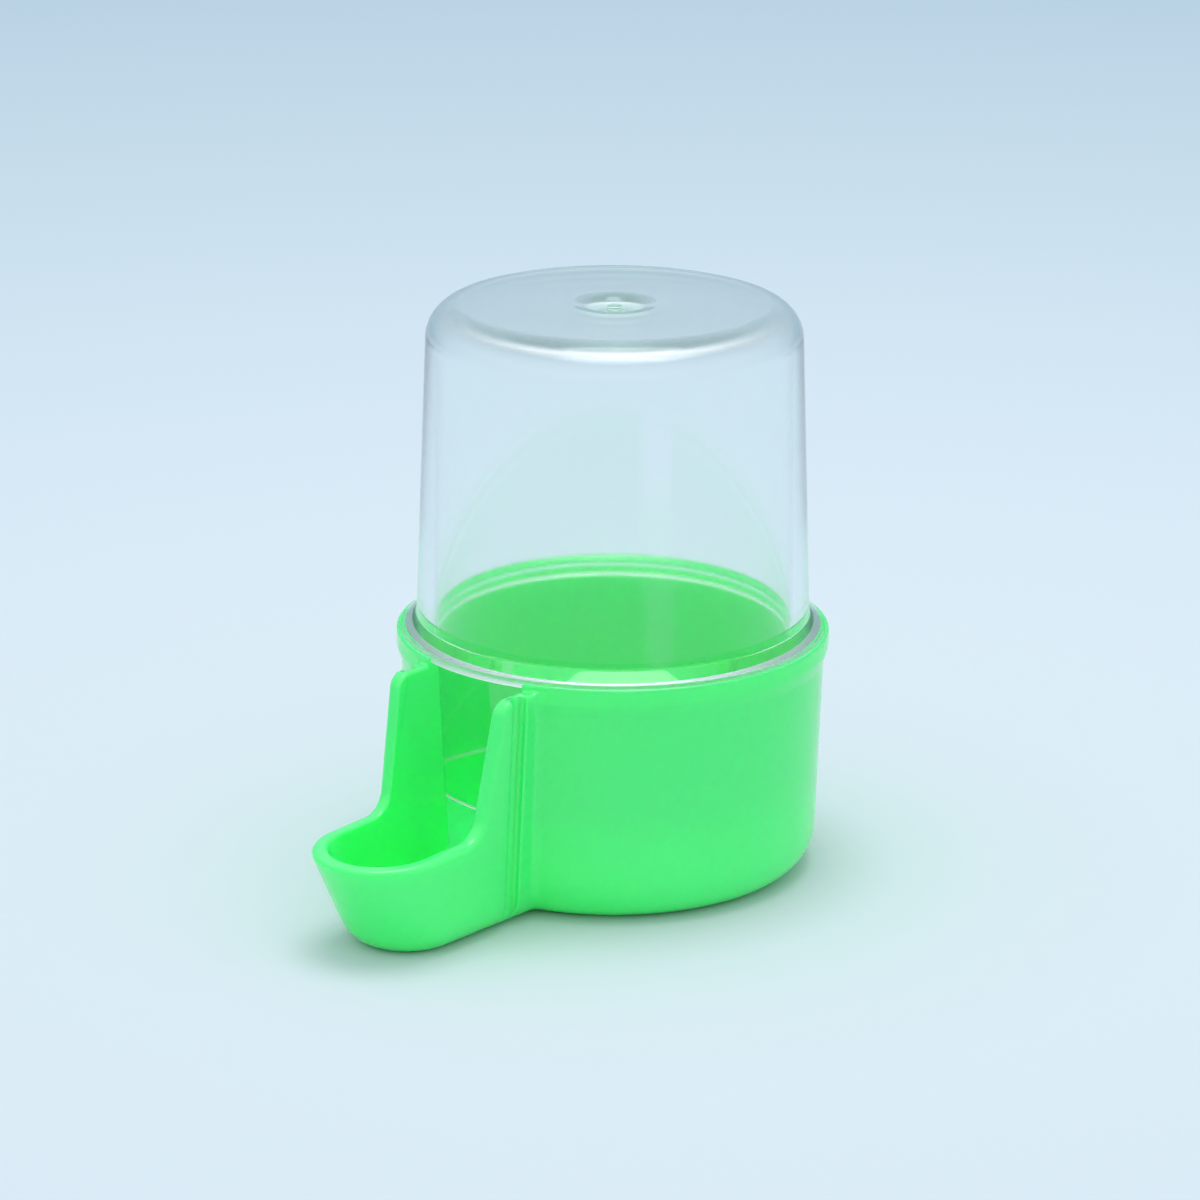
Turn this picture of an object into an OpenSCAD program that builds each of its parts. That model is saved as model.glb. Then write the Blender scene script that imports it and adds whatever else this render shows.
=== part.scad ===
// Bird waterer: a clear upturned tank standing in a one-piece green base with a drinking trough.
// Origin on the tank's axis at the level of the table, +Z up, the trough points along -Y.

/* [Tank] */
// Diameter of the tank outside, just above the flange
tank_d = 47.2; // [40:0.2:60]
// How much narrower the tank's radius is under the shoulder
tank_taper = 1.2; // [0:0.1:2.5]
// Height of the tank above the flange
tank_rise = 39.2; // [25:0.1:60]
// Thickness of the wall under the shoulder
tank_wall = 1.5; // [1:0.1:2.2]
// How much wider the bore's radius is at its open lower end
bore_taper = 0.7; // [0.2:0.1:1]
// Thickness of the top
tank_top_wall = 1.8; // [1.4:0.1:3]
// Rounding of the shoulder
shoulder_round = 4.3; // [3.2:0.1:6]
// Rounding between the wall and the flange
foot_round = 1.3; // [0.4:0.1:1.4]
// Diameter of the round dimple in the top
dimple_d = 8.8; // [5:0.1:14]
// Depth of the dimple
dimple_depth = 0.9; // [0.4:0.1:1.1]
// Diameter of the nub that the moulding gate leaves in the dimple
nub_d = 1.8; // [1:0.1:3]
// Height of the nub
nub_h = 0.5; // [0.2:0.1:0.8]

/* [Flange and skirt] */
// Width of the flange, out from the wall
flange_w = 1.8; // [1.8:0.1:4]
// Thickness of the flange
flange_t = 1.2; // [0.8:0.1:2]
// Thickness of the skirt at its lower edge
skirt_wall = 1; // [0.7:0.1:1.4]
// How much wider the skirt's radius is under the flange
skirt_taper = 0.3; // [0:0.1:0.6]
// Height of the trough's rim above the skirt's lower edge, which sets the water level
water_drop = 0.8; // [0.4:0.1:4]

/* [Drum] */
// Height of the seat that carries the flange
seat_z = 29; // [26:0.1:40]
// Thickness of the drum's wall
drum_wall = 1.3; // [1:0.1:1.7]
// How much narrower the drum's radius is at the bottom
drum_taper = 0.7; // [0:0.1:1.5]
// Thickness of the drum's floor
drum_floor = 1.9; // [1:0.1:3]
// Rounding round the drum's bottom edge
drum_round = 5; // [2:0.1:7]

/* [Lip] */
// Thickness of the thin lip round the flange
lip_wall = 0.5; // [0.4:0.1:1.2]
// Height of the lip above the seat
lip_rise = 0.7; // [0.3:0.1:1.2]
// Height of the lip's upright edge on the outside
lip_edge = 2.1; // [0.3:0.1:3]
// Height of the flare under that edge
lip_flare = 1.7; // [1:0.1:5]
// How far the lip stands out from the drum's wall
lip_overhang = 0.6; // [0.2:0.1:1]
// Gap between the flange's edge and the lip
flange_gap = 0.1; // [0.05:0.05:0.4]

/* [Trough] */
// Width of the trough outside, at its rim
trough_w = 16.5; // [14:0.1:20]
// Distance from the lip's edge to the tip of the nose
trough_reach = 23.4; // [18:0.1:32]
// Height of the rim at the tip of the nose
rim_tip_z = 12.1; // [9:0.1:15]
// How much higher the rim is at the foot of the cheeks
rim_rise = 0.6; // [0:0.1:2]
// Thickness of the trough's wall and floor
trough_wall = 1.9; // [1.6:0.1:2.4]
// Lean of the trough's sides, in degrees
side_draft = 3; // [0.5:0.5:5]
// Slope of the nose, in degrees from upright
nose_slope = 27; // [10:1:32]
// Rounding along the bottom of the sides
side_round = 3.6; // [2.6:0.1:5]
// Rounding under the tip of the nose
nose_round = 2.2; // [1:0.1:4]

/* [Cheeks] */
// Height of the lip's top above the cheeks' top
cheek_drop = 0.9; // [0.4:0.1:4]
// Thickness of the cheek's plate in front of the groove, at the top
cheek_plate = 1.7; // [1.2:0.1:4]
// Lean of the cheeks' front edge, in degrees
cheek_lean = 11; // [0:1:16]
// Rounding of the cheeks' top corner
cheek_round = 2.1; // [0.5:0.1:3]
// Radius of the sweep from the cheek down to the rim
sweep_round = 3; // [1:0.1:4.5]

/* [Cage grooves] */
// Width of the upright groove that takes a cage wire
groove_w = 2.2; // [1.6:0.1:3]
// Depth of the groove
groove_depth = 1.1; // [0.6:0.1:1.3]

/* [Hidden] */
$fn = 96;
arc_steps = 8;
nose_steps = 32;
overcut = 1;

tank_foot_r = tank_d / 2;
tank_top_r = tank_foot_r - tank_taper;
bore_top_r = tank_top_r - tank_wall;
mouth_r = bore_top_r + bore_taper;
skirt_low_r = mouth_r + skirt_wall;
skirt_top_r = skirt_low_r + skirt_taper;
flange_r = tank_foot_r + flange_w;
flange_edge = flange_t / 3;
flange_top_z = seat_z + flange_t;
tank_top_z = flange_top_z + tank_rise;
skirt_low_z = rim_tip_z - water_drop;

recess_r = flange_r + flange_gap;
lip_r = recess_r + lip_wall;
lip_top_z = seat_z + lip_rise;
drum_top_r = lip_r - lip_overhang;
drum_low_r = drum_top_r - drum_taper;

tip_y = lip_r + trough_reach;
rim_root_z = rim_tip_z + rim_rise;
cheek_top_z = lip_top_z - cheek_drop;
cheek_front_y = lip_r + groove_w + cheek_plate;

// Points of an arc about centre c, from angle a0 to angle a1
function arc(c, r, a0, a1, steps = arc_steps) =
    [for (k = [0 : steps]) let (a = a0 + (a1 - a0) * k / steps) c + r * [cos(a), sin(a)]];

// Profile of the tank: up the outside from the skirt's edge, over the top and down the bore
module tank_profile() {
    bore_top_z = tank_top_z - tank_top_wall;
    bore_round = shoulder_round - tank_top_wall;
    polygon(concat(
        [[mouth_r, skirt_low_z], [skirt_low_r, skirt_low_z], [skirt_top_r, seat_z], [flange_r, seat_z]],
        arc([flange_r - flange_edge, flange_top_z - flange_edge], flange_edge, 0, 90, 3),
        arc([tank_foot_r + foot_round, flange_top_z + foot_round], foot_round, 270, 180),
        arc([tank_top_r - shoulder_round, tank_top_z - shoulder_round], shoulder_round, 0, 90),
        [[0, tank_top_z], [0, bore_top_z]],
        arc([bore_top_r - bore_round, bore_top_z - bore_round], bore_round, 90, 0)));
}

// Shallow round dimple in the middle of the top
module dimple() {
    ball_r = (pow(dimple_d / 2, 2) + pow(dimple_depth, 2)) / (2 * dimple_depth);
    translate([0, 0, tank_top_z - dimple_depth + ball_r]) sphere(r = ball_r);
}

module tank() {
    dimple_z = tank_top_z - dimple_depth;
    color([0.86, 0.95, 0.97, 0.45]) union() {
        difference() {
            rotate_extrude() tank_profile();
            dimple();
        }
        translate([0, 0, dimple_z - nub_h]) cylinder(d = nub_d, h = 2 * nub_h);
    }
}

// Outside of the drum: rounded bottom edge, leaning wall, and the flare and edge of the lip
module drum_outside() {
    edge_z = lip_top_z - lip_edge;
    rotate_extrude() polygon(concat(
        [[0, 0]],
        arc([drum_low_r - drum_round, drum_round], drum_round, 270, 360),
        [[drum_top_r, edge_z - lip_flare], [lip_r, edge_z], [lip_r, lip_top_z], [0, lip_top_z]]));
}

// Inside of the drum: floor, wall, seat of the flange, and the recess inside the lip
module drum_inside() {
    inner_round = max(drum_round - drum_wall, drum_wall);
    low_r = drum_low_r - drum_wall;
    top_r = drum_top_r - drum_wall;
    open_z = lip_top_z + overcut;
    rotate_extrude() polygon(concat(
        [[0, drum_floor]],
        arc([low_r - inner_round, drum_floor + inner_round], inner_round, 270, 360),
        [[top_r, seat_z], [recess_r, seat_z], [recess_r, open_z], [0, open_z]]));
}

// How far a bottom rounding of radius r pulls a wall in, at height h above the bottom
function pull_in(h, r) = h >= r ? 0 : r - sqrt(r * r - (r - h) * (r - h));

// Half width of the channel's straight side at height h, before its bottom rounding
function side_x(h) = trough_w / 2 + (h - rim_tip_z) * tan(side_draft);

// Half width of the channel at height h, and reach of its tip, with all faces moved in by inset
function half_w(h, inset) = side_x(h) - inset - pull_in(h - inset, side_round - inset);
function tip_reach(h, inset) = tip_y - inset / cos(nose_slope) + min(h - rim_tip_z, 0) * tan(nose_slope)
    - pull_in(h - inset, nose_round - inset);

// Plan of the channel at height h: straight sides from the tank's axis, closed by a half circle
function channel_ring(h, inset) =
    let (w = half_w(h, inset), nose_y = tip_reach(h, inset) - w)
    concat([[w, 0, h]],
        [for (p = arc([0, -nose_y], w, 0, -180, nose_steps)) [p.x, p.y, h]],
        [[-w, 0, h]]);

// Heights of the plans: close together in the bottom rounding, then the rim and the top
function channel_levels(inset, top_z) = concat(
    [for (k = [0 : arc_steps]) inset + (side_round - inset) * (1 - cos(90 * k / arc_steps))],
    [rim_tip_z, top_z]);

// Trough and throat as one body up to top_z, lofted through the plans
module channel(inset, top_z) {
    levels = channel_levels(inset, top_z);
    count = nose_steps + 3;
    points = [for (h = levels) each channel_ring(h, inset)];
    sides = [for (j = [0 : len(levels) - 2], k = [0 : count - 1])
        let (a = j * count + k, b = j * count + (k + 1) % count)
        each [[a, b, a + count], [b, b + count, a + count]]];
    floor_face = [for (k = [count - 1 : -1 : 0]) k];
    top_face = [for (k = [0 : count - 1]) (len(levels) - 1) * count + k];
    polyhedron(points, concat(sides, [floor_face, top_face]));
}

// Side view of trough and cheeks as [distance from the axis, height]: rim, sweep, front edge, top corner
module side_view() {
    lean = tan(cheek_lean);
    sweep_z = rim_root_z + sweep_round;
    sweep_y = cheek_front_y + (cheek_top_z - sweep_z) * lean + sweep_round / cos(cheek_lean);
    rim_fall = atan(rim_rise / (tip_y - sweep_y));
    corner_y = cheek_front_y + cheek_round * lean - cheek_round / cos(cheek_lean);
    polygon(concat(
        [[0, -overcut], [tip_y + overcut, -overcut], [tip_y + overcut, rim_tip_z - overcut * tan(rim_fall)]],
        arc([sweep_y, sweep_z], sweep_round, 270 - rim_fall, 180 + cheek_lean),
        arc([corner_y, cheek_top_z - cheek_round], cheek_round, cheek_lean, 90),
        [[0, cheek_top_z]]));
}

// Trough with its two cheeks: the outer channel, cut to the side view
module trough_outside() {
    intersection() {
        channel(0, lip_top_z);
        rotate([90, 0, -90]) linear_extrude(2 * trough_w, center = true) side_view();
    }
}

// Upright grooves in the outer faces of the cheeks, just in front of the lip, one for each cage wire
module cage_grooves() {
    top_z = lip_top_z + overcut;
    for (side = [0, 1])
        mirror([side, 0, 0]) translate([0, -lip_r, 0]) rotate([90, 0, 0]) linear_extrude(groove_w)
            polygon([[side_x(-overcut) - groove_depth, -overcut], [trough_w, -overcut],
                     [trough_w, top_z], [side_x(top_z) - groove_depth, top_z]]);
}

module base() {
    color([0.32, 0.91, 0.5]) difference() {
        union() {
            drum_outside();
            trough_outside();
        }
        drum_inside();
        channel(trough_wall, lip_top_z + overcut);
        cage_grooves();
    }
}

base();
tank();
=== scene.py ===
"""Looks of the bird waterer: a green moulded base with a drinking trough, and a clear upturned tank."""

import math

import bmesh
import bpy
from mathutils import Matrix, Vector


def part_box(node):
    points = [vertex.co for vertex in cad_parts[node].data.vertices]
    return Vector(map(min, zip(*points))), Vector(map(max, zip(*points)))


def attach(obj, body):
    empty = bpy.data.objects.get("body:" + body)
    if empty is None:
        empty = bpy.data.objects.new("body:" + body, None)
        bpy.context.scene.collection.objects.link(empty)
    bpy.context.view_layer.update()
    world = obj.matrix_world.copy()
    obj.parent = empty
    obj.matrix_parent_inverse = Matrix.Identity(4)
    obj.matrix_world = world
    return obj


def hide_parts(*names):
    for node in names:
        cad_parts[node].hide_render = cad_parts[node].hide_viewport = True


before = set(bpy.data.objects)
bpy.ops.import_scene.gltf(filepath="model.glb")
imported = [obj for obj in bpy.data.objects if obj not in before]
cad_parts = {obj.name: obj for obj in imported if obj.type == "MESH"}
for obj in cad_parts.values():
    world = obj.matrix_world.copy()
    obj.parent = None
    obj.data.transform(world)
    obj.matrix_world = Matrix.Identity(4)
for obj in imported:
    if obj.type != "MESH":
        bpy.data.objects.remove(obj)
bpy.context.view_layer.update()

# Unit of the sizes below, in metres
MM = 0.001

# Points that lie closer than this become one, in metres
WELD = 0.002 * MM

# Main sizes, read from the frame, in millimetres
base_low, base_high = (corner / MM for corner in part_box("base"))
tank_low, tank_high = (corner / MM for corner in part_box("tank"))
LIP_R, LIP_TOP = base_high.x, base_high.z
NOSE_TIP = -base_low.y
TANK_TOP, FLANGE_R, SKIRT_LOW = tank_high.z, tank_high.x, tank_low.z

# Base: seat, lip and drum, in millimetres
SEAT_Z = LIP_TOP - 0.7
RECESS_R = LIP_R - 0.5
LIP_ROUND = 0.35
FLARE_TOP = LIP_TOP - 2.1
FLARE_LOW = LIP_TOP - 3.8
DRUM_TOP_R = LIP_R - 0.6
DRUM_LOW_R = LIP_R - 1.3
DRUM_WALL = 1.3
DRUM_ROUND = 5.0
FLOOR_Z = 1.9
BOWL_ROUND = 3.7

# Base: trough, cheeks and grooves, in millimetres and degrees
TROUGH_HALF = 8.25
TROUGH_WALL = 1.9
RIM_TIP_Z = 12.1
RIM_RISE = 0.6
SIDE_DRAFT = math.tan(math.radians(3))
NOSE_SLOPE = math.radians(27)
SIDE_ROUND = 3.6
NOSE_ROUND = 2.2
CHEEK_TOP = LIP_TOP - 0.9
CHEEK_FRONT = LIP_R + 3.9
CHEEK_LEAN = math.radians(11)
SWEEP_ROUND = 3.0
GROOVE_BACK = LIP_R
GROOVE_FRONT = LIP_R + 2.2
GROOVE_DEPTH = 1.1
# The cheek's top corner is rounded as far back as the groove
CHEEK_ROUND = (CHEEK_FRONT - GROOVE_FRONT) / (1 / math.cos(CHEEK_LEAN) - math.tan(CHEEK_LEAN))

# Fineness of the base's mesh
ROUND_STEPS = 8
NOSE_STEPS = 16
RIM_ROWS = 4
WALL_ROWS = 6
SWEEP_STEPS = 8
CORNER_STEPS = 6
LIP_STEPS = 4
LIP_ROUND_STEPS = 7
DRUM_STEPS = 56
EDGE_STEPS = 3

# Rounding of the base's edges, by the two surfaces that meet there, in millimetres
EDGE_ROUNDS = {
    ("rim", "trough"): 0.8,
    ("inside", "rim"): 0.4,
    ("cheek_top", "trough"): 0.45,
    ("cheek_top", "inside"): 0.45,
    ("cheek_top", "groove"): 0.3,
    ("groove", "trough"): 0.3,
    ("groove", "ridge"): 0.3,
    ("cheek_top", "ridge"): 0.4,
    ("drum", "ridge"): 0.8,
    ("drum", "drum"): 0.3,
    ("cheek_top", "lip"): 0.35,
    ("inside", "lip"): 0.12,
    ("lip", "lip"): 0.1,
    ("bowl", "lip"): 0.2,
    ("bowl", "inside"): 0.5,
}
SHARP_ANGLE = math.radians(15)
SURFACES = [
    "trough", "rim", "inside", "cheek_top", "groove", "ridge",
    "drum", "lip", "bowl", "floor", "underside",
]


def pull_in(rise, radius):
    """How far a rounding along the bottom pulls a wall in, at that rise above the bottom."""
    if rise >= radius:
        return 0.0
    return radius - math.sqrt(radius ** 2 - (radius - rise) ** 2)


def side_x(z):
    """Half width of the trough's straight side at height z."""
    return TROUGH_HALF + (z - RIM_TIP_Z) * SIDE_DRAFT


def channel_half(z, wall=0.0):
    """Half width of the trough at height z, outside or one wall further in, with its bottom rounding."""
    return side_x(z) - wall - pull_in(z - wall, SIDE_ROUND - wall)


def nose_point(z, turn, wall=0.0):
    """Point of the round nose at height z; turn goes from 0 at the tip to a right angle at the side."""
    half = channel_half(z, wall)
    tip = NOSE_TIP - wall / math.cos(NOSE_SLOPE) + min(z - RIM_TIP_Z, 0.0) * math.tan(NOSE_SLOPE)
    tip -= pull_in(z - wall, max(NOSE_ROUND - wall, 0.0))
    return (half * math.sin(turn), -(tip - half + half * math.cos(turn)), z)


def drum_r(z):
    """Radius of the drum's outside at height z, with the flare under the lip."""
    if z > FLARE_LOW:
        share = min((z - FLARE_LOW) / (FLARE_TOP - FLARE_LOW), 1.0)
        return DRUM_TOP_R + (LIP_R - DRUM_TOP_R) * share
    share = max(z - DRUM_ROUND, 0.0) / (FLARE_LOW - DRUM_ROUND)
    return DRUM_LOW_R + (DRUM_TOP_R - DRUM_LOW_R) * share - pull_in(z, DRUM_ROUND)


def bowl_r(z):
    """Radius of the drum's inside at height z."""
    foot = FLOOR_Z + BOWL_ROUND
    share = max(z - foot, 0.0) / (SEAT_Z - foot)
    low, top = DRUM_LOW_R - DRUM_WALL, DRUM_TOP_R - DRUM_WALL
    return low + (top - low) * share - pull_in(z - FLOOR_Z, BOWL_ROUND)


def on_circle(radius, angle, z):
    """Point at that angle from the trough's direction, turning towards +X."""
    return (radius * math.sin(angle), -radius * math.cos(angle), z)


def spread(start, end, steps):
    """Evenly spaced values from start to end."""
    return [start + (end - start) * k / steps for k in range(steps + 1)]


def round_rows(bottom, radius):
    """Heights of the rows through a bottom rounding."""
    return [bottom + radius * (1 - math.cos(turn)) for turn in spread(0, math.pi / 2, ROUND_STEPS)]


def arc(centre, radius, start, end, steps):
    """Points of an arc in the side view, as distance from the tank's axis and height."""
    angles = spread(start, end, steps)
    return [(centre[0] + radius * math.cos(a), centre[1] + radius * math.sin(a)) for a in angles]


def rim_fall():
    """Angle by which the trough's rim falls towards the nose."""
    return math.atan(RIM_RISE / (NOSE_TIP - sweep_centre()[0]))


def sweep_centre():
    """Centre of the sweep from the cheek's front edge down to the rim, in the side view."""
    height = RIM_TIP_Z + RIM_RISE + SWEEP_ROUND
    reach = CHEEK_FRONT + (CHEEK_TOP - height) * math.tan(CHEEK_LEAN) + SWEEP_ROUND / math.cos(CHEEK_LEAN)
    return reach, height


def rim_z(reach):
    """Height of the trough's rim at that distance from the tank's axis."""
    return RIM_TIP_Z + (NOSE_TIP - reach) * math.tan(rim_fall())


def cheek_outline():
    """Side view of the sweep, the cheek's front edge and its top corner, from the rim up."""
    corner = CHEEK_FRONT + CHEEK_ROUND * math.tan(CHEEK_LEAN) - CHEEK_ROUND / math.cos(CHEEK_LEAN)
    sweep = arc(sweep_centre(), SWEEP_ROUND, 1.5 * math.pi - rim_fall(), math.pi + CHEEK_LEAN, SWEEP_STEPS)
    top = arc((corner, CHEEK_TOP - CHEEK_ROUND), CHEEK_ROUND, CHEEK_LEAN, math.pi / 2, CORNER_STEPS)
    return sweep + top


def nose_column(turn, wall, rows):
    """One upright line of the nose, from the bottom rounding up to the rim."""
    top = rim_z(-nose_point(RIM_TIP_Z, turn, wall)[1])
    heights = rows + spread(rows[-1], top, RIM_ROWS)[1:]
    return [nose_point(z, turn, wall) for z in heights]


def throat_corner(z):
    """Where the trough's inside meets the drum's inside."""
    half = channel_half(z, TROUGH_WALL)
    return (half, -math.sqrt(bowl_r(z) ** 2 - half ** 2), z)


def drum_corner(z):
    """Where the ridge behind a groove meets the drum's outside."""
    half = channel_half(z)
    return (half, -math.sqrt(drum_r(z) ** 2 - half ** 2), z)


def drum_ring(z):
    """Half ring of the drum's outside, from the ridge to the back."""
    start = math.asin(channel_half(z) / drum_r(z))
    return [on_circle(drum_r(z), a, z) for a in spread(start, math.pi, DRUM_STEPS)]


def lip_ring(radius, z):
    """Half ring of the lip, the seat or the bowl, from the trough's inside past the cheek to the back."""
    start = math.asin(channel_half(z, TROUGH_WALL) / radius)
    ridge = math.asin(channel_half(z) / radius)
    angles = spread(start, ridge, LIP_STEPS) + spread(ridge, math.pi, DRUM_STEPS)[1:]
    return [on_circle(radius, a, z) for a in angles]


class HalfShell:
    """Half of the base, gathered surface by surface, then mirrored."""

    def __init__(self):
        self.mesh = bmesh.new()
        self.surface = self.mesh.faces.layers.int.new("surface")

    def face(self, surface, points):
        """One face of a surface, through points in millimetres."""
        corners = [self.mesh.verts.new(Vector(p) * MM) for p in points]
        self.mesh.faces.new(corners)[self.surface] = SURFACES.index(surface)

    def grid(self, surface, rows):
        """Faces between neighbouring rows of points."""
        for low, high in zip(rows, rows[1:]):
            for a, b, c, d in zip(low, low[1:], high[1:], high):
                self.face(surface, (a, b, c, d))

    def weld(self):
        bmesh.ops.remove_doubles(self.mesh, verts=self.mesh.verts, dist=WELD)

    def mirror(self):
        """Adds the other half and closes the two along the middle."""
        self.weld()
        bmesh.ops.dissolve_degenerate(self.mesh, edges=self.mesh.edges, dist=WELD)
        geometry = self.mesh.verts[:] + self.mesh.edges[:] + self.mesh.faces[:]
        bmesh.ops.mirror(self.mesh, geom=geometry, axis="X", merge_dist=WELD)
        self.weld()
        bmesh.ops.recalc_face_normals(self.mesh, faces=self.mesh.faces)

    def weigh_edges(self, widest):
        """Bevel weight of each sharp edge, from the two surfaces that meet there."""
        weight = self.mesh.edges.layers.float.new("bevel_weight_edge")
        for edge in self.mesh.edges:
            if len(edge.link_faces) == 2 and edge.calc_face_angle() > SHARP_ANGLE:
                pair = sorted(SURFACES[f[self.surface]] for f in edge.link_faces)
                edge[weight] = EDGE_ROUNDS.get(tuple(pair), 0.0) / widest


def add_trough_outside(shell, rows, heights):
    """Outside of the nose, the trough and the cheek, back to the groove; gives its upper edge."""
    turns = spread(0, math.pi / 2, NOSE_STEPS)
    columns = [nose_column(turn, 0.0, rows) for turn in turns]
    shell.grid("trough", columns)
    bottom_round = [[columns[-1][k], (channel_half(z), -GROOVE_FRONT, z)] for k, z in enumerate(rows)]
    shell.grid("trough", bottom_round)
    outline = [(side_x(z), -reach, z) for reach, z in cheek_outline()]
    groove_edge = [(channel_half(z), -GROOVE_FRONT, z) for z in heights if z >= rows[-1]]
    shell.face("trough", columns[-1][len(rows) - 1:] + outline + groove_edge[::-1])
    return [column[-1] for column in columns] + outline


def add_trough_inside(shell, rows, bowl_heights, lip_end):
    """Inside of the nose, the trough and the throat, back to the drum's inside; gives its upper edge."""
    turns = spread(0, math.pi / 2, NOSE_STEPS)
    columns = [nose_column(turn, TROUGH_WALL, rows) for turn in turns]
    shell.grid("inside", columns)
    shell.grid("inside", [[columns[-1][k], throat_corner(z)] for k, z in enumerate(rows)])
    outline = [(side_x(z) - TROUGH_WALL, -reach, z) for reach, z in cheek_outline()]
    throat = [throat_corner(z) for z in bowl_heights if z >= rows[-1]]
    shell.face("inside", columns[-1][len(rows) - 1:] + outline + lip_end + throat[::-1])
    return [column[-1] for column in columns] + outline


def add_groove(shell, heights):
    """Three walls of the groove, and the ridge between it and the drum."""
    def line(x, reach):
        return [(min(x(z), channel_half(z)), -reach, z) for z in heights]

    def floor_x(z):
        return side_x(z) - GROOVE_DEPTH

    shell.grid("groove", [line(side_x, GROOVE_FRONT), line(floor_x, GROOVE_FRONT)])
    shell.grid("groove", [line(floor_x, GROOVE_FRONT), line(floor_x, GROOVE_BACK)])
    shell.grid("groove", [line(floor_x, GROOVE_BACK), line(side_x, GROOVE_BACK)])
    shell.grid("ridge", [line(side_x, GROOVE_BACK), [drum_corner(z) for z in heights]])


def base_mesh():
    """The base's mesh, and the widest rounding of its edges."""
    shell = HalfShell()
    rows = round_rows(0.0, SIDE_ROUND)
    heights = rows + [(rows[-1] + DRUM_ROUND) / 2] + spread(DRUM_ROUND, FLARE_LOW, WALL_ROWS)
    heights += [FLARE_TOP, CHEEK_TOP]
    bowl_foot = FLOOR_Z + BOWL_ROUND
    bowl_rows = round_rows(FLOOR_Z, SIDE_ROUND - TROUGH_WALL)
    bowl_heights = bowl_rows + [(bowl_rows[-1] + bowl_foot) / 2] + spread(bowl_foot, SEAT_Z, WALL_ROWS)

    lip_top = arc((LIP_R - LIP_ROUND, LIP_TOP - LIP_ROUND), LIP_ROUND, 0, math.pi / 2, LIP_ROUND_STEPS)
    seat = [(RECESS_R, LIP_TOP), (RECESS_R, SEAT_Z), (bowl_r(SEAT_Z), SEAT_Z)]
    lip_profile = [(LIP_R, CHEEK_TOP)] + lip_top + seat
    lip_rings = [lip_ring(radius, z) for radius, z in lip_profile]
    lip_end = [ring[0] for ring in lip_rings[:-1]]

    outer_rim = add_trough_outside(shell, rows, heights)
    inner_rim = add_trough_inside(shell, bowl_rows, bowl_heights, lip_end)
    shell.grid("rim", [outer_rim, inner_rim])
    add_groove(shell, heights)
    shell.grid("drum", [drum_ring(z) for z in heights])
    shell.grid("lip", lip_rings)
    shell.grid("bowl", [lip_ring(bowl_r(z), z) for z in bowl_heights])

    top_x = side_x(CHEEK_TOP)
    notch_x = top_x - GROOVE_DEPTH
    notch = [(notch_x, -GROOVE_FRONT), (notch_x, -GROOVE_BACK), (top_x, -GROOVE_BACK)]
    shell.face("cheek_top", [inner_rim[-1], outer_rim[-1]] + [(x, y, CHEEK_TOP) for x, y in notch]
               + lip_rings[0][LIP_STEPS::-1])

    turns = spread(0, math.pi / 2, NOSE_STEPS)
    nose = [nose_point(FLOOR_Z, turn, TROUGH_WALL) for turn in turns]
    shell.face("floor", nose + lip_ring(bowl_r(FLOOR_Z), FLOOR_Z))
    nose = [nose_point(0.0, turn) for turn in turns]
    groove_foot = [(channel_half(0.0), -reach, 0.0) for reach in (GROOVE_FRONT, GROOVE_BACK)]
    shell.face("underside", nose + groove_foot + drum_ring(0.0))

    shell.mirror()
    widest = max(EDGE_ROUNDS.values())
    shell.weigh_edges(widest)
    mesh = bpy.data.meshes.new("base_shell")
    shell.mesh.to_mesh(mesh)
    shell.mesh.free()
    return mesh, widest


def linked(name, mesh):
    """A new object in the scene."""
    piece = bpy.data.objects.new(name, mesh)
    bpy.context.scene.collection.objects.link(piece)
    return piece


def applied(piece):
    """Turns a piece with its modifiers into a plain mesh."""
    graph = bpy.context.evaluated_depsgraph_get()
    mesh = bpy.data.meshes.new_from_object(piece.evaluated_get(graph))
    piece.modifiers.clear()
    piece.data = mesh
    return piece


def make_base(material):
    """The green base, with its edges rounded."""
    mesh, widest = base_mesh()
    piece = linked("green_base", mesh)
    mesh.materials.append(material)
    mesh.shade_smooth()
    bevel = piece.modifiers.new("edges", "BEVEL")
    bevel.limit_method = "WEIGHT"
    bevel.width = widest * MM
    bevel.segments = EDGE_STEPS
    bevel.use_clamp_overlap = False
    flat = piece.modifiers.new("flat_faces", "WEIGHTED_NORMAL")
    flat.keep_sharp = False
    return applied(piece)


# Tank, in millimetres
TANK_FOOT_R = FLANGE_R - 1.8
TANK_SHOULDER_R = TANK_FOOT_R - 1.35
FLANGE_TOP = SEAT_Z + 1.2
SEAT_SINK = 0.02
TOP_WALL = 1.8
BORE_TOP_R = TANK_FOOT_R - 2.7
MOUTH_R = TANK_FOOT_R - 2.0
SKIRT_LOW_R = MOUTH_R + 1.0
SKIRT_TOP_R = SKIRT_LOW_R + 0.3
SHOULDER_ROUND = 4.3
DIMPLE_R = 4.4
DIMPLE_FLOOR_R = 2.9
DIMPLE_DEPTH = 0.9
NUB_R = 0.9
NUB_SUNK = 0.4

# Fineness of the tank's mesh, and the small circle on the axis that its profile is turned along
TURNS = 160
CORNER_COUNT = 8
AXIS_R = 0.001

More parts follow.
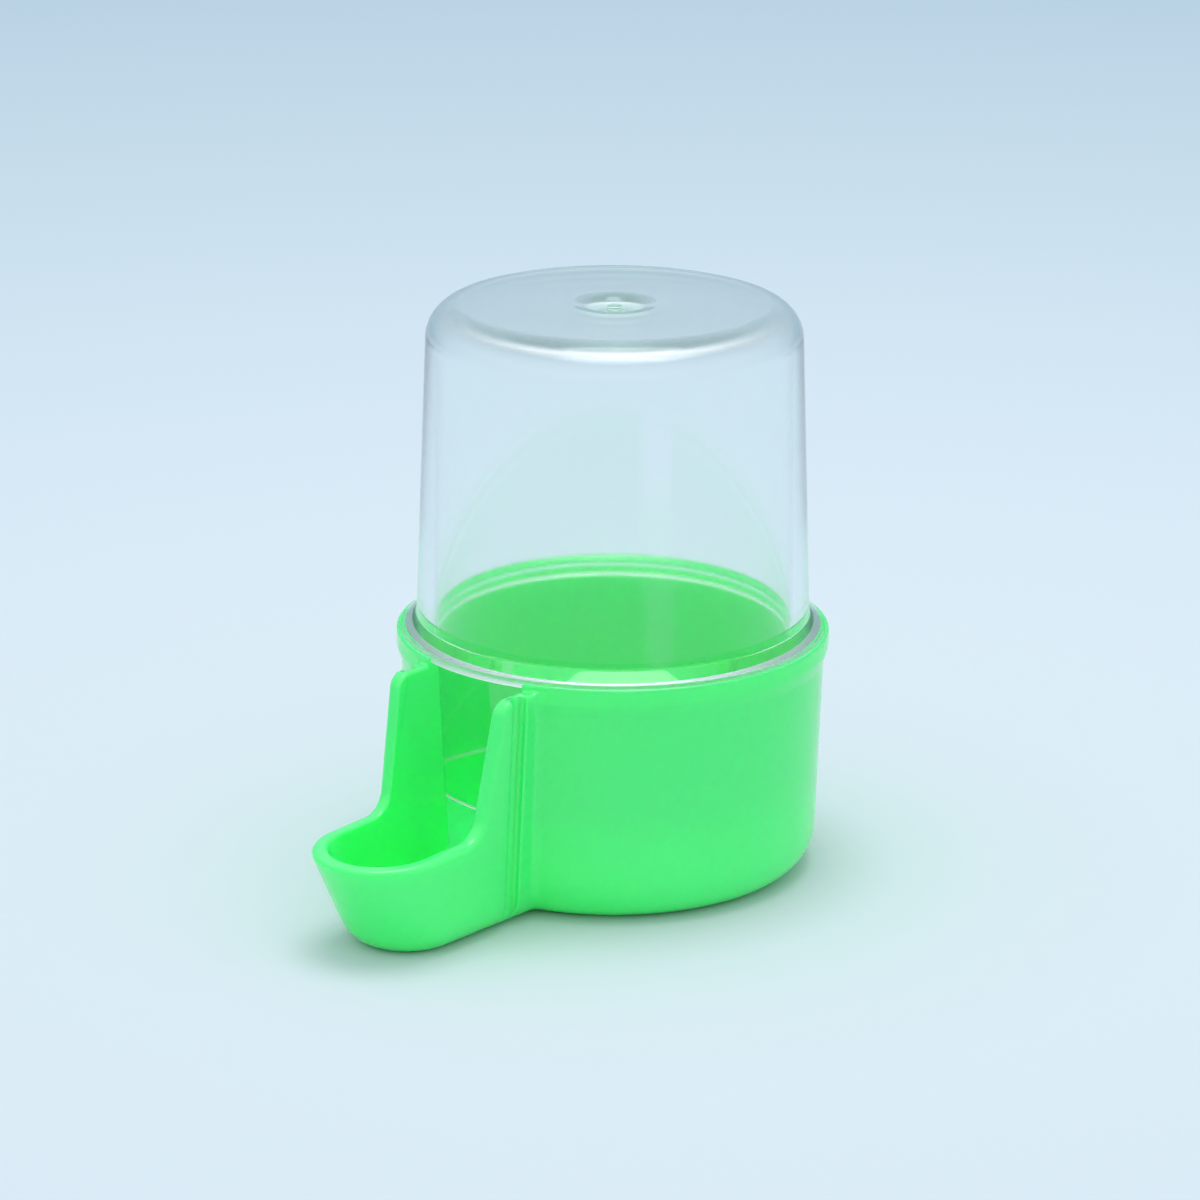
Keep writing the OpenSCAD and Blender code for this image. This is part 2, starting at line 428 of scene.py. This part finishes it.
# Corners of the tank's profile: name, radius, height and rounding
BORE_TOP = TANK_TOP - TOP_WALL
TANK_CORNERS = [
    ("nub crown", 0.0, TANK_TOP - NUB_SUNK, 0.0),
    ("nub edge", NUB_R, TANK_TOP - NUB_SUNK, 0.2),
    ("nub foot", NUB_R, TANK_TOP - DIMPLE_DEPTH, 0.2),
    ("dimple floor", DIMPLE_FLOOR_R, TANK_TOP - DIMPLE_DEPTH, 2.0),
    ("dimple edge", DIMPLE_R, TANK_TOP, 3.0),
    ("shoulder", TANK_SHOULDER_R, TANK_TOP, SHOULDER_ROUND),
    ("wall foot", TANK_FOOT_R, FLANGE_TOP + 1.2, 0.6),
    ("flange slope", FLANGE_R - 0.3, FLANGE_TOP, 0.25),
    ("flange edge", FLANGE_R, FLANGE_TOP - 0.2, 0.15),
    ("flange low edge", FLANGE_R, SEAT_Z - SEAT_SINK, 0.05),
    ("skirt top", SKIRT_TOP_R, SEAT_Z - SEAT_SINK, 0.15),
    ("skirt outer edge", SKIRT_LOW_R, SKIRT_LOW, 0.2),
    ("skirt inner edge", MOUTH_R, SKIRT_LOW, 0.2),
    ("bore shoulder", BORE_TOP_R, BORE_TOP, SHOULDER_ROUND - TOP_WALL),
    ("bulge edge", DIMPLE_R, BORE_TOP, 2.0),
    ("bulge floor", DIMPLE_FLOOR_R, BORE_TOP - DIMPLE_DEPTH, 3.0),
    ("bulge centre", 0.0, BORE_TOP - DIMPLE_DEPTH, 0.0),
]


def revolve_tree(corners, material):
    """Geometry Nodes tree that rounds a profile's corners and turns it about Z."""
    tree = bpy.data.node_groups.new("turned_profile", "GeometryNodeTree")
    tree.interface.new_socket("Geometry", in_out="OUTPUT", socket_type="NodeSocketGeometry")
    for name, _, _, _ in corners:
        for size in ("radius", "height", "rounding"):
            tree.interface.new_socket(f"{name} {size}", in_out="INPUT", socket_type="NodeSocketFloat")
    for name in ("turn steps", "corner steps"):
        tree.interface.new_socket(name, in_out="INPUT", socket_type="NodeSocketInt")

    def node(kind, **settings):
        made = tree.nodes.new(kind)
        for key, value in settings.items():
            setattr(made, key, value)
        return made

    sizes = node("NodeGroupInput")
    index = node("GeometryNodeInputIndex")
    place = node("GeometryNodeIndexSwitch", data_type="VECTOR")
    rounding = node("GeometryNodeIndexSwitch", data_type="FLOAT")
    for switch in (place, rounding):
        for _ in range(len(corners) - len(switch.index_switch_items)):
            switch.index_switch_items.new()
        tree.links.new(index.outputs["Index"], switch.inputs["Index"])
    for k, (name, _, _, _) in enumerate(corners):
        down = node("ShaderNodeMath", operation="MULTIPLY")
        down.inputs[1].default_value = -1.0
        point = node("ShaderNodeCombineXYZ")
        tree.links.new(sizes.outputs[f"{name} height"], down.inputs[0])
        tree.links.new(sizes.outputs[f"{name} radius"], point.inputs["X"])
        tree.links.new(down.outputs["Value"], point.inputs["Y"])
        tree.links.new(point.outputs["Vector"], place.inputs[k + 1])
        tree.links.new(sizes.outputs[f"{name} rounding"], rounding.inputs[k + 1])

    line = node("GeometryNodeMeshLine")
    line.inputs["Count"].default_value = len(corners)
    set_corners = node("GeometryNodeSetPosition")
    to_curve = node("GeometryNodeMeshToCurve")
    fillet = node("GeometryNodeFilletCurve", mode="POLY")
    fillet.inputs["Limit Radius"].default_value = True
    circle = node("GeometryNodeCurvePrimitiveCircle", mode="RADIUS")
    circle.inputs["Radius"].default_value = AXIS_R * MM
    upright = node("GeometryNodeSetCurveNormal", mode="Z_UP")
    turned = node("GeometryNodeCurveToMesh")
    poles = node("GeometryNodeMergeByDistance")
    poles.inputs["Distance"].default_value = 5 * AXIS_R * MM
    realize = node("GeometryNodeRealizeInstances")
    paint = node("GeometryNodeSetMaterial")
    paint.inputs["Material"].default_value = material
    result = node("NodeGroupOutput")
    tree.links.new(line.outputs["Mesh"], set_corners.inputs["Geometry"])
    tree.links.new(place.outputs["Output"], set_corners.inputs["Position"])
    tree.links.new(set_corners.outputs["Geometry"], to_curve.inputs["Mesh"])
    tree.links.new(to_curve.outputs["Curve"], fillet.inputs["Curve"])
    tree.links.new(rounding.outputs["Output"], fillet.inputs["Radius"])
    tree.links.new(sizes.outputs["corner steps"], fillet.inputs["Count"])
    tree.links.new(sizes.outputs["turn steps"], circle.inputs["Resolution"])
    tree.links.new(circle.outputs["Curve"], upright.inputs["Curve"])
    tree.links.new(upright.outputs["Curve"], turned.inputs["Curve"])
    tree.links.new(fillet.outputs["Curve"], turned.inputs["Profile Curve"])
    tree.links.new(turned.outputs["Mesh"], poles.inputs["Geometry"])
    tree.links.new(poles.outputs["Geometry"], realize.inputs["Geometry"])
    tree.links.new(realize.outputs["Geometry"], paint.inputs["Geometry"])
    tree.links.new(paint.outputs["Geometry"], result.inputs["Geometry"])
    return tree


def make_tank(material):
    """The clear tank, turned from its profile and closed at the poles."""
    piece = linked("clear_tank", bpy.data.meshes.new("clear_tank"))
    turned = piece.modifiers.new("turned", "NODES")
    turned.node_group = revolve_tree(TANK_CORNERS, material)
    values = {"turn steps": TURNS, "corner steps": CORNER_COUNT}
    for name, radius, height, rounding in TANK_CORNERS:
        values[f"{name} radius"] = radius * MM
        values[f"{name} height"] = height * MM
        values[f"{name} rounding"] = rounding * MM
    for item in turned.node_group.interface.items_tree:
        if item.in_out == "INPUT":
            turned[item.identifier] = values[item.name]
    applied(piece)
    shell = bmesh.new()
    shell.from_mesh(piece.data)
    bmesh.ops.remove_doubles(shell, verts=shell.verts, dist=WELD)
    bmesh.ops.recalc_face_normals(shell, faces=shell.faces)
    shell.to_mesh(piece.data)
    shell.free()
    piece.data.shade_smooth()
    return piece


def new_material(name):
    """A material with its nodes, links and main shader."""
    material = bpy.data.materials.new(name)
    material.use_nodes = True
    nodes = material.node_tree.nodes
    return material, nodes, material.node_tree.links, nodes["Principled BSDF"]


def noise(nodes, links, scale, detail):
    """Noise on Object coordinates."""
    place = nodes.new("ShaderNodeTexCoord")
    texture = nodes.new("ShaderNodeTexNoise")
    texture.inputs["Scale"].default_value = scale
    texture.inputs["Detail"].default_value = detail
    links.new(place.outputs["Object"], texture.inputs["Vector"])
    return texture.outputs["Fac"]


def ranged(nodes, links, source, start, end, low, high):
    """Maps start to end of a source onto low to high."""
    span = nodes.new("ShaderNodeMapRange")
    span.inputs["From Min"].default_value = start
    span.inputs["From Max"].default_value = end
    span.inputs["To Min"].default_value = low
    span.inputs["To Max"].default_value = high
    links.new(source, span.inputs["Value"])
    return span.outputs["Result"]


def joined(nodes, links, operation, first, second):
    """Two values put together, such as the larger one or the product."""
    both = nodes.new("ShaderNodeMath")
    both.operation = operation
    links.new(first, both.inputs[0])
    links.new(second, both.inputs[1])
    return both.outputs["Value"]


# Green plastic: two shades, least and most matt, and how far red, green and blue light spread in it,
# as shares of a reach in millimetres
GREEN_SHADES = [(0.060, 0.94, 0.205, 1.0), (0.070, 0.97, 0.235, 1.0)]
GREEN_MATT = (0.15, 0.21)
GREEN_SPREAD = (0.03, 1.0, 0.08)
GREEN_SPREAD_REACH = 4.0
GREEN_IOR = 1.6
GREEN_GLOSS = 0.65

# Clear plastic: least and most hazy, tint where it is thick, and roughness of the top, the bore
# and the trimmed edges
CLEAR_HAZE = (0.02, 0.08)
CLEAR_IOR = 1.55
CLEAR_TINT = (0.64, 0.90, 0.92, 1.0)
CLEAR_TINT_DENSITY = 40.0
TOP_FROST = 0.17
BORE_FROST = 0.08
EDGE_FROST = 0.5


def green_plastic():
    """Satin-gloss moulded green with faint flow marks, translucent to its own colour."""
    material, nodes, links, shader = new_material("green_plastic")
    marks = noise(nodes, links, 60.0, 2.0)
    tint = nodes.new("ShaderNodeMix")
    tint.data_type = "RGBA"
    tint.inputs["A"].default_value, tint.inputs["B"].default_value = GREEN_SHADES
    links.new(marks, tint.inputs["Factor"])
    links.new(tint.outputs["Result"], shader.inputs["Base Color"])
    links.new(ranged(nodes, links, marks, 0.2, 0.8, *GREEN_MATT), shader.inputs["Roughness"])
    shader.inputs["Subsurface Weight"].default_value = 1.0
    shader.inputs["Subsurface Radius"].default_value = GREEN_SPREAD
    shader.inputs["Subsurface Scale"].default_value = GREEN_SPREAD_REACH * MM
    shader.inputs["IOR"].default_value = GREEN_IOR
    shader.inputs["Specular IOR Level"].default_value = GREEN_GLOSS
    return material


def frost(nodes, links, haze):
    """Roughness of the tank: clear walls, a softer top, and matt edges and seat where it was trimmed."""
    place = nodes.new("ShaderNodeTexCoord")
    split = nodes.new("ShaderNodeSeparateXYZ")
    links.new(place.outputs["Object"], split.inputs["Vector"])
    height = split.outputs["Z"]
    flat = nodes.new("ShaderNodeVectorMath")
    flat.operation = "MULTIPLY"
    flat.inputs[1].default_value = (1.0, 1.0, 0.0)
    links.new(place.outputs["Object"], flat.inputs[0])
    length = nodes.new("ShaderNodeVectorMath")
    length.operation = "LENGTH"
    links.new(flat.outputs["Vector"], length.inputs[0])
    radius = length.outputs["Value"]

    def soft(source, start, end, amount):
        """Goes from 0 to amount between two places, in millimetres."""
        return ranged(nodes, links, source, start * MM, end * MM, 0.0, amount)

    top = soft(height, TANK_TOP - 5.5, TANK_TOP - 3.0, TOP_FROST)
    bore = soft(radius, MOUTH_R + 0.4, MOUTH_R + 0.2, BORE_FROST)
    rim = soft(radius, FLANGE_R - 0.2, FLANGE_R - 0.1, EDGE_FROST)
    skirt = soft(height, SKIRT_LOW + 0.35, SKIRT_LOW + 0.2, EDGE_FROST)
    under = joined(nodes, links, "MULTIPLY", soft(height, SEAT_Z + 0.12, SEAT_Z + 0.06, EDGE_FROST),
                   soft(radius, SKIRT_TOP_R + 0.05, SKIRT_TOP_R + 0.15, 1.0))
    rough = haze
    for part in (top, bore, rim, skirt, under):
        rough = joined(nodes, links, "MAXIMUM", rough, part)
    return rough


def clear_plastic():
    """Clear moulded plastic, faintly blue-green where it is thick."""
    material, nodes, links, shader = new_material("clear_plastic")
    shader.inputs["Base Color"].default_value = (1.0, 1.0, 1.0, 1.0)
    shader.inputs["Transmission Weight"].default_value = 1.0
    shader.inputs["IOR"].default_value = CLEAR_IOR
    haze = ranged(nodes, links, noise(nodes, links, 120.0, 4.0), 0.3, 0.7, *CLEAR_HAZE)
    links.new(frost(nodes, links, haze), shader.inputs["Roughness"])
    tint = nodes.new("ShaderNodeVolumeAbsorption")
    tint.inputs["Color"].default_value = CLEAR_TINT
    tint.inputs["Density"].default_value = CLEAR_TINT_DENSITY
    links.new(tint.outputs["Volume"], nodes["Material Output"].inputs["Volume"])
    path = nodes.new("ShaderNodeLightPath")
    lamps_pass = nodes.new("ShaderNodeBsdfTransparent")
    either = nodes.new("ShaderNodeMixShader")
    links.new(path.outputs["Is Shadow Ray"], either.inputs["Fac"])
    links.new(shader.outputs["BSDF"], either.inputs[1])
    links.new(lamps_pass.outputs["BSDF"], either.inputs[2])
    links.new(either.outputs["Shader"], nodes["Material Output"].inputs["Surface"])
    return material


# Camera, fitted to the photograph
VIEW_TURN = math.radians(40.16)
VIEW_RISE = math.radians(17.15)
VIEW_ROLL = math.radians(0.35)
VIEW_DISTANCE = 600 * MM
VIEW_TARGET = Vector((0, 0, 33.5 * MM))
VIEW_LENS = 149.9
IMAGE_SIDE = 1200
TARGET_PIXEL = (613.0, 592.6)


def make_camera():
    """Camera at the photograph's angle, with the target at its place in the picture."""
    camera = bpy.data.objects.new("camera", bpy.data.cameras.new("camera"))
    bpy.context.scene.collection.objects.link(camera)
    camera.data.lens = VIEW_LENS
    camera.data.sensor_width = 36.0
    camera.data.clip_start = 0.01
    centre = IMAGE_SIDE / 2
    camera.data.shift_x = (centre - TARGET_PIXEL[0]) / IMAGE_SIDE
    camera.data.shift_y = (TARGET_PIXEL[1] - centre) / IMAGE_SIDE
    away = Vector((math.cos(VIEW_RISE) * math.sin(VIEW_TURN), -math.cos(VIEW_RISE) * math.cos(VIEW_TURN),
                   math.sin(VIEW_RISE)))
    camera.location = VIEW_TARGET + away * VIEW_DISTANCE
    look = away.to_track_quat("Z", "Y").to_matrix()
    camera.rotation_euler = (look @ Matrix.Rotation(VIEW_ROLL, 3, "Z")).to_euler()
    bpy.context.scene.camera = camera


# Floor: half its side in metres, and its colour by distance from the object in metres, a painted pool of
# light that darkens further off
FLOOR_HALF = 2.0
FLOOR_NEAR_PAINTED_LIGHT = (0.05, (0.60, 0.68, 0.74, 1.0))
FLOOR_FAR_PAINTED_SHADE = (0.6, (0.475, 0.61, 0.715, 1.0))


def make_floor():
    """Pale floor with a painted pool of light: its colour darkens a little with distance from the object.
    """
    mesh = bpy.data.meshes.new("floor")
    corners = [(x * FLOOR_HALF, y * FLOOR_HALF, 0) for x, y in ((-1, -1), (1, -1), (1, 1), (-1, 1))]
    mesh.from_pydata(corners, [], [(0, 1, 2, 3)])
    floor = linked("floor", mesh)
    material, nodes, links, shader = new_material("pale_floor")
    place = nodes.new("ShaderNodeTexCoord")
    far = nodes.new("ShaderNodeVectorMath")
    far.operation = "LENGTH"
    # The ramp paints light falling off away from the object: lighter near it, darker and bluer far off
    ramp = nodes.new("ShaderNodeValToRGB")
    for element, (distance, colour) in zip(ramp.color_ramp.elements, (FLOOR_NEAR_PAINTED_LIGHT, FLOOR_FAR_PAINTED_SHADE)):
        element.position = distance
        element.color = colour
    links.new(place.outputs["Object"], far.inputs[0])
    links.new(far.outputs["Value"], ramp.inputs["Fac"])
    links.new(ramp.outputs["Color"], shader.inputs["Base Color"])
    shader.inputs["Roughness"].default_value = 0.9
    shader.inputs["Specular IOR Level"].default_value = 0.0
    mesh.materials.append(material)


# Light of the studio's tent, brightest overhead: cosine from there, and colour
TENT_BRIGHTEST = (0.13, -0.15, 0.98)
TENT_LIGHT = [
    (-0.2, (0.38, 0.52, 0.64, 1.0)),
    (0.1, (0.46, 0.60, 0.71, 1.0)),
    (0.4, (0.84, 0.91, 0.95, 1.0)),
    (0.9, (1.06, 1.06, 1.06, 1.0)),
]

# Softbox overhead: place and width in metres, power in watts
SOFTBOX_PLACE = (0.0, 0.04, 0.6)
SOFTBOX_WIDTH = 0.36
SOFTBOX_POWER = 1.2


def make_light():
    """Even light of a studio tent, and a softbox overhead."""
    world = bpy.data.worlds.new("studio")
    bpy.context.scene.world = world
    world.use_nodes = True
    nodes, links = world.node_tree.nodes, world.node_tree.links
    place = nodes.new("ShaderNodeTexCoord")
    facing = nodes.new("ShaderNodeVectorMath")
    facing.operation = "DOT_PRODUCT"
    facing.inputs[1].default_value = TENT_BRIGHTEST
    ramp = nodes.new("ShaderNodeValToRGB")
    for _ in TENT_LIGHT[2:]:
        ramp.color_ramp.elements.new(0.5)
    for element, (cosine, colour) in zip(ramp.color_ramp.elements, TENT_LIGHT):
        element.position = (cosine + 1) / 2
        element.color = colour
    links.new(place.outputs["Generated"], facing.inputs[0])
    links.new(ranged(nodes, links, facing.outputs["Value"], -1.0, 1.0, 0.0, 1.0), ramp.inputs["Fac"])
    links.new(ramp.outputs["Color"], nodes["Background"].inputs["Color"])
    nodes["Background"].inputs["Strength"].default_value = 1.0
    lamp = bpy.data.lights.new("softbox", "AREA")
    lamp.shape = "DISK"
    lamp.size = SOFTBOX_WIDTH
    lamp.energy = SOFTBOX_POWER
    softbox = bpy.data.objects.new("softbox", lamp)
    softbox.location = SOFTBOX_PLACE
    bpy.context.scene.collection.objects.link(softbox)


bpy.context.scene.view_settings.view_transform = "Standard"
# Light crosses many clear walls on its way
bpy.context.scene.cycles.max_bounces = 24
bpy.context.scene.cycles.diffuse_bounces = 8
bpy.context.scene.cycles.glossy_bounces = 16
bpy.context.scene.cycles.transmission_bounces = 16
make_camera()
make_floor()
make_light()

green_base = make_base(green_plastic())
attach(green_base, "base")
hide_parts("base")

clear_tank = make_tank(clear_plastic())
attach(clear_tank, "tank")
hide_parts("tank")
